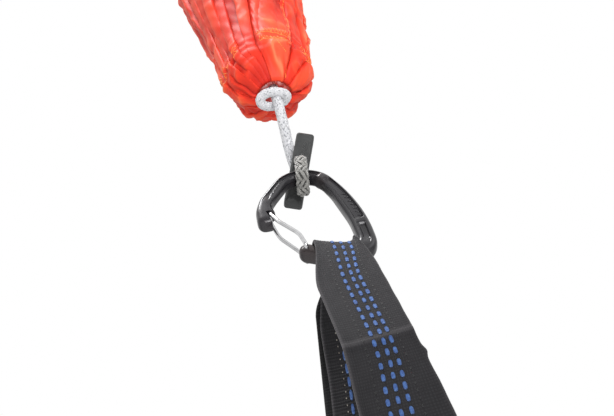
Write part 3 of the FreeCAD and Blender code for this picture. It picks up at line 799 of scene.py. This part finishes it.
def fabric():
    """The gathered panel end as one closed sheet, and the size that it was cut to."""
    count = 620
    slope = heading_along(PROFILE)
    out_r = slope[:, 1]
    out_z = -slope[:, 0]
    rows = len(PROFILE)
    loose = np.ones(rows)
    loose[:WALL_FIRST] = np.linspace(0.42, 0.85, WALL_FIRST)
    hem = np.arange(rows) > WALL_LAST - 6
    out_r = np.where(hem, 1.0, np.abs(out_r))
    out_z = np.where(hem | (np.arange(rows) < WALL_FIRST - 12), 0.0, out_z)
    theta = np.arange(count) * 360.0 / count - 180.0
    angle, row = np.meshgrid(theta, np.arange(rows))
    points, ridge = cloth(angle, PROFILE[row, 0], PROFILE[row, 1], out_r[row], out_z[row],
                          loose[row])
    along = reach_along(PROFILE)
    uv = np.stack([np.radians(angle).ravel() * UV_RADIUS, along[row].ravel()], -1)
    obj = sheet_piece("gathered_fabric", points, CLOTH_HALF, NYLON, "hammock_fabric", "hammock_end",
                      "ridge", ridge, uv, True)
    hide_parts("hammock_fabric", "channel_hem", "top_hem")
    across = np.roll(points, -1, axis=1)[:-1] - points[:-1]
    upward = points[1:] - points[:-1]
    area = np.linalg.norm(np.cross(across, upward), axis=2).sum() * MM * MM
    length = along[-1] * MM
    return obj, (area / length, length)


def wall_bead(here, along, lift, *size):
    """A stitch on the outer wall, lifted off it by so many mm."""
    outward = unit(here * (1, 1, 0))
    return bead(here + outward * lift, along, outward, *size)


def zigzag(name, node, height, phase):
    """Machine zigzag in orange thread, along the channel's seam."""
    count = 230
    theta = np.arange(count + 1) * 360.0 / count
    swing = np.where(np.arange(count + 1) % 2, 1.25, -1.25)
    wander = 1.1 * np.sin(np.radians(theta) * 3 + phase) + 0.5 * np.sin(np.radians(theta) * 11)
    points = wall(theta, height + wander + swing, 0.42, 2.2)
    edge = wall(theta, height + wander - 1.9, 0.30, 2.2)
    parts = [loose_thread(points, 0.27), loose_thread(edge, 0.22)]
    parts += [wall_bead(points[k], points[k + 1] - points[k], 0, 0.75, 0.34, 0.34)
              for k in range(0, count, 3)]
    obj = piece(name, *join(parts), ORANGE_THREAD, "seam_thread", "hammock_end")
    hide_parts(node)
    return obj


def side_hem(name, node, degrees, drift):
    """Rolled and stitched long edge of the panel, lying over the pleats."""
    rows = 230
    height = np.linspace(236.0, 104.0, rows)
    theta = degrees + drift * smoothstep(150, 104, height) + 1.4 * np.sin(height / 9.0)
    flat = 0.55 + 0.45 * smoothstep(108, 150, height)
    path = wall(theta, height, 0.9)
    for _ in range(6):
        path[1:-1] = (path[:-2] + 2 * path[1:-1] + path[2:]) / 4
    sides, others = frames_along(path, (-math.sin(math.radians(degrees)),
                                        math.cos(math.radians(degrees)), 0))
    turn = full_turn(24)
    pucker = 1 + 0.10 * np.sin(height / 1.35)[:, None] * np.cos(turn)[None]
    radius = oval(turn, 2.1, 0.85)[None] * flat[:, None] * pucker
    verts, faces = tube_grid(path, sides, others, radius, len(turn))
    # Colour value that rises and falls with the hem's puckers: painted highlight and painted shade
    # along the roll.
    ridge = np.repeat(0.75 + 0.2 * np.sin(height / 1.35), len(turn))
    obj = piece(name, verts, faces, NYLON, "hammock_fabric", "hammock_end", {"ridge": ridge},
                np.stack([np.tile(turn, rows), np.repeat(height, len(turn))], -1))
    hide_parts(node)
    parts = [wall_bead(path[k], path[k + 1] - path[k - 1], 0.85 * flat[k], 0.85, 0.32, 0.25)
             for k in range(3, rows - 3, 4)]
    stitches = piece(name + "_stitches", *join(parts), ORANGE_THREAD, "seam_thread", "hammock_end")
    return [obj, stitches]


def channel_stitching():
    """A curved line of stitches that runs on from the side hem across the channel."""
    share = np.linspace(0, 1, 24)
    theta = -80 + 28 * share ** 1.3
    height = 108 - 22 * share
    points = wall(theta, height, 0.45)
    parts = [wall_bead(here, after - before, 0, 0.62, 0.30, 0.26)
             for before, here, after in zip(points, points[1:], points[2:])]
    parts.append(loose_thread(wall(theta, height, 0.20), 0.28))
    return piece("channel_stitching", *join(parts), ORANGE_THREAD, "seam_thread", "hammock_end")


cloth_piece, flat = fabric()
details = [zigzag("seam_thread_upper", "channel_seam_upper", 114.0, 0.4),
           zigzag("seam_thread_lower", "channel_seam_lower", 108.4, 1.9)]
details += side_hem("rolled_hem_front", "side_hem_front", -47.0, -12.0)
details += side_hem("rolled_hem_spine_side", "side_hem_spine_side", -8.0, -14.0)
details.append(channel_stitching())


# ---- toggle ----

def toggle_marks():
    """Small raised ribs on the toggle's front face, above and below its hole."""
    turn = np.array(TOGGLE_TURN.to_matrix())
    parts = []
    for height in (6.4, 7.9, 9.4, 10.9, 12.4, 13.9, -14.6, -16.1, -17.6, -19.1):
        centre = TOGGLE_FACE + turn @ np.array([0.7, 0.02, height])
        parts.append(bead(centre, turn @ np.array([1.0, 0, 0.25]), FRONT, 1.15, 0.28, 0.16))
    piece("toggle_ribs", *join(parts), TOGGLE, "toggle", "toggle")


toggle_marks()


# ---- carabiner ----

PIVOT = np.array([-7.9, -53.0])        # x and z of the gate's axis
GATE_TIP = np.array([-19.8, -23.5])    # and of its far end when closed
PIVOT_RADIUS = 1.0
BAR_HALF = 4.0                         # half the bar's thickness, along Y
BAR_ROWS = 300
BAR_POINTS = 112                       # points round each row
CAP_ROWS = 13                          # rows in each rounded end


def bow_corner(radius, degrees):
    """Corner at which tangents at the two ends of the bow's arc would meet."""
    first, last = math.radians(143.0), math.radians(degrees)
    reach = radius / math.cos((first - last) / 2)
    middle = (first + last) / 2
    return (BOW_CENTRE[0] + reach * math.cos(middle), BOW_CENTRE[2] + reach * math.sin(middle))


def rounded_outline(corners, radii, step=0.35):
    """Evenly spaced points of an outline in x and z with its corners rounded."""
    corners = np.array(corners, float)
    out = [corners[0]]
    for before, corner, after, radius in zip(corners, corners[1:], corners[2:], radii):
        back, ahead = unit(before - corner), unit(after - corner)
        half = math.acos(np.clip(back @ ahead, -1, 1)) / 2
        centre = corner + unit(back + ahead) * radius / math.sin(half)
        start = corner + back * radius / math.tan(half) - centre
        sweep = math.pi - 2 * half
        sign = 1 if np.cross(start, -back) > 0 else -1
        for share in np.linspace(0, 1, max(3, int(radius * sweep / step))):
            a = sign * sweep * share
            c, k = math.cos(a), math.sin(a)
            out.append(centre + (start[0] * c - start[1] * k, start[0] * k + start[1] * c))
    out.append(corners[-1])
    return np.array(out)


def bar_sides(count):
    """Matching points on the bar's outer and inner edges, from the nose to the eyelet."""
    outer = rounded_outline(
        [(-25.6, -27.0), (-25.4, -14.5), bow_corner(17.05, 24.0), (25.2, -28.2),
         (24.0, -64.0), (4.0, -62.8), (-8.2, -56.4)], [20.0, 17.05, 100.0, 11.0, 16.0])
    inner = rounded_outline(
        [(-18.4, -25.4), (-18.7, -16.7), bow_corner(10.55, 18.0), (11.3, -14.0),
         (15.4, -36.0), (16.2, -58.4), (5.2, -55.9), (-6.6, -49.4)],
        [13.0, 10.55, 40.0, 60.0, 6.5, 10.0])
    middle = (resample(outer, count)[0] + resample(inner, count)[0]) / 2
    middle = resample(middle, count)[0]
    heading = heading_along(middle)
    across = np.stack([-heading[:, 1], heading[:, 0]], -1)
    reaches = []
    for line, side in ((outer, 1), (inner, -1)):
        fine = resample(line, 1600)[0]
        gap = fine[None] - middle[:, None]
        off = np.abs((gap * heading[:, None]).sum(-1)) + 0.02 * np.linalg.norm(gap, axis=-1)
        off += 50 * ((gap * across[:, None]).sum(-1) * side < 0)
        off += 50 * (np.linalg.norm(gap, axis=-1) > 8)
        pick = off.argmin(axis=1)
        reaches.append(np.linalg.norm(fine[pick] - middle, axis=1))
    kernel = np.ones(7) / 7
    reaches = [np.convolve(np.pad(r, 3, "edge"), kernel, "valid") for r in reaches]
    return middle, heading, across, reaches[0], reaches[1]


def carabiner():
    """Forged bar swept from nose to eyelet: rounded, with long scoops in both flanks."""
    middle, heading, across, out_reach, in_reach = bar_sides(BAR_ROWS)
    along = reach_along(middle)
    total = along[-1]
    ends = np.sin(np.linspace(0, math.pi / 2, CAP_ROWS + 1))[:-1]

    def round_end(place, aim, normal, reach, at):
        return [(place + aim * reach * (1 - share), normal, math.sqrt(1 - (1 - share) ** 2), at)
                for share in ends]

    rows = round_end(middle[0], -heading[0], across[0], 4.6, 0.0)
    rows += zip(middle, across, np.ones(BAR_ROWS), along)
    rows += round_end(middle[-1], heading[-1], across[-1], 4.2, total)[::-1]
    angle = full_turn(BAR_POINTS)
    width_out = np.pad(out_reach, CAP_ROWS, "edge")
    width_in = np.pad(in_reach, CAP_ROWS, "edge")
    verts = []
    for (place, normal, size, at), outward, inward in zip(rows, width_out, width_in):
        share = at / total
        nose = float(smoothstep(11.0, 3.5, at))
        outward = outward + 0.9 * nose
        inward = inward + 1.3 * nose
        e = np.sign(np.cos(angle)) * np.abs(np.cos(angle)) ** 0.62
        y = np.sign(np.sin(angle)) * np.abs(np.sin(angle)) ** 0.62
        side = e * np.where(e > 0, outward, inward) * size
        high = y * (BAR_HALF + 0.15 * nose) * (size ** 0.7)
        panel = smoothstep(0.395, 0.41, share) * smoothstep(0.665, 0.65, share)
        bow = smoothstep(0.075, 0.15, share) * smoothstep(0.375, 0.355, share)
        pocket = smoothstep(0.68, 0.695, share) * smoothstep(0.80, 0.74, share)
        low_edge = -0.62 + 0.30 * bow + 0.10 * pocket
        high_edge = 0.50 + 0.10 * panel - 0.12 * pocket
        inside = (smoothstep(low_edge, low_edge + 0.286, e) *
                  smoothstep(high_edge, high_edge - 0.13, e))
        deep = 1.25 * panel + 1.0 * bow + 1.1 * pocket
        bevel = 0.9 * smoothstep(0.1, -1.0, e) * bow
        high = high - np.sign(y) * (deep * inside + bevel) * (np.abs(y) > 0.4)
        x, z = place[:, None] + normal[:, None] * side
        verts.append(np.stack([x, high, z], -1))
    verts = np.array(verts)
    faces = list(grid_quads(len(rows), BAR_POINTS, False, True))
    faces.append(tuple(range(BAR_POINTS))[::-1])
    last = (len(rows) - 1) * BAR_POINTS
    faces.append(tuple(range(last, last + BAR_POINTS)))
    obj = piece("forged_carabiner", verts.reshape(-1, 3), faces, ANODISED, "anodised", "carabiner")
    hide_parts("carabiner_body")
    cut_away(obj, gate_cutters())


def gate_cutters():
    """The pivot hole through the eyelet and the notch that the gate closes into."""
    reach = GATE_TIP - PIVOT
    length = np.linalg.norm(reach)
    along = reach / length
    outward = np.array([-along[1], along[0]])
    hole = [PIVOT + PIVOT_RADIUS * np.array([math.cos(a), math.sin(a)]) for a in full_turn(32)]
    stop = length + 1.3
    notch = [PIVOT + along * s + outward * o
             for s, o in ((stop, 1.5), (stop - 11, 2.7), (stop - 11, -9), (stop - 2, -9))]
    return [hole, notch]


def cut_away(obj, outlines):
    """Cuts prisms that run along Y out of a piece."""
    for outline in outlines:
        count = len(outline)
        verts = [(x, y, z) for y in (-8.0, 8.0) for x, z in outline]
        faces = [tuple(range(count)), tuple(range(count, 2 * count))[::-1]]
        for k in range(count):
            j = (k + 1) % count
            faces.append((k, k + count, j + count, j))
        cutter = mesh_object("cutter", metres(verts), faces)
        outside = bmesh.new()
        outside.from_mesh(cutter.data)
        bmesh.ops.recalc_face_normals(outside, faces=outside.faces)
        outside.to_mesh(cutter.data)
        outside.free()
        modifier = obj.modifiers.new("cut", "BOOLEAN")
        modifier.operation = "DIFFERENCE"
        modifier.solver = "EXACT"
        modifier.object = cutter
        bpy.context.view_layer.update()
        graph = bpy.context.evaluated_depsgraph_get()
        done = bpy.data.meshes.new_from_object(obj.evaluated_get(graph))
        obj.modifiers.clear()
        obj.data = done
        bpy.data.objects.remove(cutter)
    obj.data.set_sharp_from_angle(angle=math.radians(38))


SPINE_BARS = np.array([(17.0, -18.5), (20.6, -36.0)])    # x and z of the first and last bar


def spine_bars():
    """Generic raised bars in the spine's sunk panel, on both faces."""
    parts = []
    for face in (-1, 1):
        for k in range(7):
            share = k / 6
            x, z = SPINE_BARS[0] * (1 - share) + SPINE_BARS[1] * share
            centre = np.array([x + 1.2 * share * (1 - share), face * 2.75, z])
            parts.append(bead(centre, np.array([1.0, 0, -0.25]), np.array([0.0, face, 0.0]),
                              1.0, 0.34, 0.36))
    piece("spine_bars", *join(parts), ANODISED, "anodised", "carabiner")


carabiner()
spine_bars()


# ---- webbing strap ----

STRAP_TOP = np.array([4.2, 0.0, -56.0])
STRAP_LEAN = math.radians(-3.0)
BACK_LEAN = math.radians(10.5)
HALF_WIDTH = 14.5
TAPE_HALF = 0.9


def from_strap(points):
    """Strap coordinates to mm about the bearing point."""
    points = np.asarray(points, float)
    c, s = math.cos(STRAP_LEAN), math.sin(STRAP_LEAN)
    x = points[..., 0] * c + points[..., 2] * s
    z = -points[..., 0] * s + points[..., 2] * c
    return np.stack([x, points[..., 1], z], -1) + STRAP_TOP


# Side view of the strap, (y, z): up the front leg, over the basket, down the back leg.
STRAP_LINE = [(-2.4, -136.0), (-6.9, -112.0), (-11.1, -90.0), (-14.2, -73.0), (-15.1, -66.0),
              (-14.6, -59.0), (-12.5, -42.0), (-9.9, -21.0), (-7.8, -8.0), (-6.2, -2.0),
              (-4.2, 0.6), (-1.6, 1.5), (1.6, 1.5), (4.2, 0.6), (6.0, -2.0), (7.4, -8.0), (10.4, -21.0),
              (14.0, -34.0), (17.3, -49.0), (18.5, -76.0), (17.0, -106.0), (15.0, -136.0)]

CREASE = -67.0           # z of the crease across the front leg

# Section of the cupped fold across the basket: (q, x, z).
CUP = [(-1.0, -8.4, 6.6), (-0.75, -7.0, 5.6), (-0.5, -4.7, 4.2), (-0.25, -1.3, 2.6),
       (0.0, 2.5, 1.0), (0.25, 6.3, -0.2), (0.5, 9.2, 0.9), (0.75, 10.3, 3.0), (1.0, 10.8, 4.6)]


def strap_line(count):
    """Evenly spaced (y, z) along the strap, and the distance along it from the fold's top."""
    out, _ = resample(smooth_profile(STRAP_LINE, 24), count)
    reach = reach_along(out)
    return out, reach - np.interp(0.0, out[:, 0], reach)


LINE, LINE_AT = strap_line(720)


def strap_middle(q, at):
    """Points in the middle of the tape: q from -1 to 1 across, at mm from the fold's top."""
    q = np.asarray(q, float)
    at = np.asarray(at, float)
    y = np.interp(at, LINE_AT, LINE[:, 0])
    z = np.interp(at, LINE_AT, LINE[:, 1])
    cup = np.array(CUP)
    cup_x = np.interp(q, cup[:, 0], cup[:, 1])
    cup_z = np.interp(q, cup[:, 0], cup[:, 2])
    hold = smoothstep(-31 + 12 * smoothstep(0.1, 0.8, q), -1.5, z)
    behind = smoothstep(-5, 9, y)
    opened = smoothstep(-62, -104, z)
    turned = (1 - behind) * (np.clip(q, 0, 1) * (-1.9 + 3.2 * opened)
                             + np.clip(q, -1, 0) * (0.8 + 1.4 * opened) - 0.8 * opened)
    bowed = -2.4 * (1 - q * q) * smoothstep(-72, -100, z) * (1 - behind)
    tucked = -1.5 * smoothstep(-62, -25, z) * behind
    flat_x = (q * HALF_WIDTH + turned + bowed + tucked
              + behind * (5.9 + z * math.sin(BACK_LEAN)))
    x = (1 - hold) * flat_x + hold * cup_x
    front = smoothstep(4, -4, y)
    crease = np.exp(-((z - CREASE - 0.8 * q) / 1.8) ** 2)
    curl = smoothstep(0.80, 1.0, np.abs(q)) * smoothstep(-8, -30, z)
    wave = 0.15 * np.sin(z / 13.0 + q * 1.5) * q
    y = y - front * (0.45 * crease + 0.75 * curl * np.where(q < 0, 1.0, 0.5)) + wave
    y = y + (1 - front) * (-0.4 * curl)
    notch = np.exp(-((z + 76) / 2.0) ** 2) * smoothstep(0.86, 1.0, q) * front
    x = x + 0.9 * notch + front * 0.06 * np.sin(z / 2.1) * smoothstep(0.9, 1.0, q)
    return np.stack([x, y, z + hold * (cup_z - 0.8)], -1)


def tape_frame(q, at):
    """Place, direction along the tape and outward normal at points of its outer face."""
    here = strap_middle(q, at)
    along = strap_middle(q, np.asarray(at) + 0.4) - strap_middle(q, np.asarray(at) - 0.4)
    across = strap_middle(np.asarray(q) + 0.02, at) - strap_middle(np.asarray(q) - 0.02, at)
    return here, along, unit(np.cross(across, along))


def woven(q, at, cross_share):
    """Half thickness with ribs along the tape, or coarse ribs across it where cross_share is 1."""
    lengthwise = 0.05 * np.cos(2 * math.pi * q * HALF_WIDTH / 1.25)
    crosswise = 0.13 * np.cos(2 * math.pi * at / 1.55)
    rim = 0.35 * smoothstep(0.93, 1.0, np.abs(q))
    return TAPE_HALF - rim + (1 - cross_share) * lengthwise + cross_share * crosswise


def tape_piece(name, grid, q, at, cross_share, edge, material):
    """A woven tape about a grid in mm, with UVs in mm across and along."""
    uv = np.stack([q.ravel() * HALF_WIDTH, at.ravel()], -1)
    return sheet_piece(name, grid, woven(q, at, cross_share), material, "webbing", "strap",
                       "edge", edge, uv)


def strap_tape():
    """The doubled webbing, with pale rims, the left one paler, and a pale line at its crease: all
    painted highlight.
    """
    q, at = np.meshgrid(np.linspace(-1, 1, 121), LINE_AT)
    # Rims paler on the left than on the right: painted highlight from light on the left.
    rim = smoothstep(0.93, 1.0, np.abs(q)) * np.where(q < 0, 0.8, 0.35)
    # A pale line along the crease on the front leg: painted highlight where the fold catches the light.
    crease = 0.22 * np.exp(-((LINE[:, 1:] - CREASE - 1.0 - 0.8 * q) / 1.3) ** 2) * (at < 0)
    obj = tape_piece("strap_tape", from_strap(strap_middle(q, at)), q, at,
                     smoothstep(6, 20, at), np.clip(rim * 0.55 + crease, 0, 1), TAPE)
    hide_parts("strap_webbing")


def backing():
    """The second tape behind the back leg."""
    line = smooth_profile([(9.5, -1.0), (12.8, -17.0), (20.2, -45.0), (20.7, -76.0),
                           (19.2, -106.0), (17.2, -136.0)], 60)
    q, row = np.meshgrid(np.linspace(-1, 1, 61), np.arange(len(line)))
    y, z = np.moveaxis(line[row], -1, 0)
    y = y + 0.3 * np.sin(z / 15.0)
    narrow = 1 - 0.50 * smoothstep(-22, -1, z)
    x = q * HALF_WIDTH * narrow + 3.0 + z * math.sin(BACK_LEAN)
    # Pale rims: painted highlight on the tape's edges.
    edge = smoothstep(0.95, 1.0, np.abs(q)) * 0.5
    obj = tape_piece("backing_tape", from_strap(np.stack([x, y, z], -1)), q, -z, 0.7, edge,
                     SHADED_BACKING_TAPE)
    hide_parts("backing_webbing")


def stitch_line(name, node, x, first, last, pitch, size, material, slot, side=1):
    """Stitches on the outer face of the tape (side 1) or the inner one (side -1)."""
    half_long, half_wide, half_high = size
    parts = []
    count = int(abs(last - first) / pitch)
    for i in range(count + 1):
        at = first + math.copysign(pitch, last - first) * i + random.uniform(-0.15, 0.15)
        here, along, normal = tape_frame(x / HALF_WIDTH, at)
        centre = here + normal * side * (TAPE_HALF + half_high * 0.25)
        local = [from_strap(centre), from_strap(centre + along) - from_strap(centre),
                 (from_strap(centre + normal) - from_strap(centre)) * side]
        grow = random.uniform(0.93, 1.07)
        parts.append(bead(*local, half_long * grow, half_wide, half_high))
    obj = piece(name, *join(parts), material, slot, "strap")
    if node:
        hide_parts(node)
    return obj


def strap_stitching():
    """Blue rows on both legs, dark rows on the front one and pale flecks on the back one."""
    for label, x in (("left", -3.4), ("middle", 0.0), ("right", 3.4)):
        stitch_line("blue_row_" + label, "tracer_row_" + label, x, -3.0, -134.0, 4.8,
                    (1.55, 0.80, 0.42), BLUE_THREAD, "blue_thread")
        stitch_line("blue_back_row_" + label, "back_tracer_" + label, x - 3.0, 26.0, 96.0, 6.4,
                    (2.5, 0.62, 0.4), BLUE_THREAD, "blue_thread", -1)
    for label, x in (("left", -6.9), ("right", 6.9)):
        stitch_line("dark_stitches_" + label, "dark_row_" + label, x, -4.0, -134.0, 3.0,
                    (0.55, 0.34, 0.12), DARK_THREAD, "dark_thread")
    stitch_line("pale_flecks", None, -8.4, 22.0, 96.0, 3.1, (0.32, 0.26, 0.2), PALE_THREAD,
                "dark_thread", -1)


def bartack():
    """Close zigzag that sews the back leg to its backing, with a few pale ends."""
    parts = []
    for k in range(5):
        at0 = 93.5 + 1.3 * k
        points = []
        for i in range(61):
            q = -0.83 + 1.66 * i / 60
            here, _, normal = tape_frame(q, at0 + (0.45 if i % 2 else -0.45))
            points.append(from_strap(here - normal * (TAPE_HALF + 0.30)))
        parts.append(loose_thread(points, 0.27))
    obj = piece("bartack_zigzag", *join(parts), DARK_THREAD, "dark_thread", "strap")
    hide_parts("bartack_thread")
    ends = []
    for _ in range(46):
        here, along, normal = tape_frame(random.uniform(-0.85, 0.85), random.uniform(92.5, 99.5))
        centre = from_strap(here - normal * (TAPE_HALF + 0.4))
        ends.append(bead(centre, along + normal * random.uniform(-0.3, 0.3), -normal,
                         0.5, 0.17, 0.17))
    piece("bartack_ends", *join(ends), PALE_THREAD, "dark_thread", "strap")


strap_tape()
backing()
strap_stitching()
bartack()


# ---- carried-over CAD nodes ----

def finish_node(node, material):
    """Gives a CAD node its finished material."""
    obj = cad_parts[node]
    obj.data.materials.clear()
    obj.data.materials.append(material)


finish_node("toggle_bar", TOGGLE)
finish_node("wire_gate", STEEL)
finish_node("channel_cord", WHITE_BRAID)


# ---- stage ----

def floor():
    """A wide pale floor, well below the hanging part."""
    half, level = 3.0, -0.80
    corners = [(-half, -half, level), (half, -half, level), (half, half, level),
               (-half, half, level)]
    obj = mesh_object("floor", corners, [(0, 1, 2, 3)])
    n = Nodes("pale_floor", Roughness=0.8)
    n.colour(n.ramp(n.noise(3, 2), [(0.3, (0.80, 0.80, 0.80)), (0.7, (0.84, 0.84, 0.84))]))
    obj.data.materials.append(n.material)


def area_light(name, place, target, size, power):
    """A square light aimed at a point, in metres and watts."""
    data = bpy.data.lights.new(name, "AREA")
    data.size = size
    data.energy = power
    light = bpy.data.objects.new(name, data)
    bpy.context.scene.collection.objects.link(light)
    light.location = place
    aim = Vector(target) - Vector(place)
    light.rotation_euler = aim.to_track_quat("-Z", "Y").to_euler()
    return light


def studio():
    """White backdrop that lights mostly from above; a key, a rim, a fill and a fabric beam."""
    world = bpy.data.worlds.new("studio")
    world.use_nodes = True
    bpy.context.scene.world = world
    tree = world.node_tree
    seen = tree.nodes["Background"]
    seen.inputs["Color"].default_value = (1, 1, 1, 1)
    lights = tree.nodes.new("ShaderNodeBackground")
    place = tree.nodes.new("ShaderNodeTexCoord")
    split = tree.nodes.new("ShaderNodeSeparateXYZ")
    spread = tree.nodes.new("ShaderNodeMapRange")
    for name, value in (("From Min", -0.5), ("From Max", 0.8), ("To Min", 0.08), ("To Max", 1.15)):
        spread.inputs[name].default_value = value
    rays = tree.nodes.new("ShaderNodeLightPath")
    choose = tree.nodes.new("ShaderNodeMixShader")
    for source, socket in ((place.outputs["Generated"], split.inputs[0]),
                           (split.outputs["Z"], spread.inputs["Value"]),
                           (spread.outputs["Result"], lights.inputs["Strength"]),
                           (rays.outputs["Is Camera Ray"], choose.inputs[0]),
                           (lights.outputs[0], choose.inputs[1]),
                           (seen.outputs[0], choose.inputs[2]),
                           (choose.outputs[0], tree.nodes["World Output"].inputs["Surface"])):
        tree.links.new(source, socket)
    area_light("key", (-0.20, -0.34, 0.82), (0.0, 0.0, -0.30), 0.35, 7)
    area_light("rim", (-0.80, -0.10, -0.20), (0.0, 0.0, -0.16), 0.8, 0.5)
    area_light("fill", (0.7, -0.6, 0.0), (0.0, 0.0, -0.20), 0.6, 1.2)
    beam = area_light("fabric_beam", (0.10, -0.50, -0.42), (0.0, 0.0, -0.10), 0.25, 0.25)
    beam.data.spread = math.radians(50)


floor()
studio()
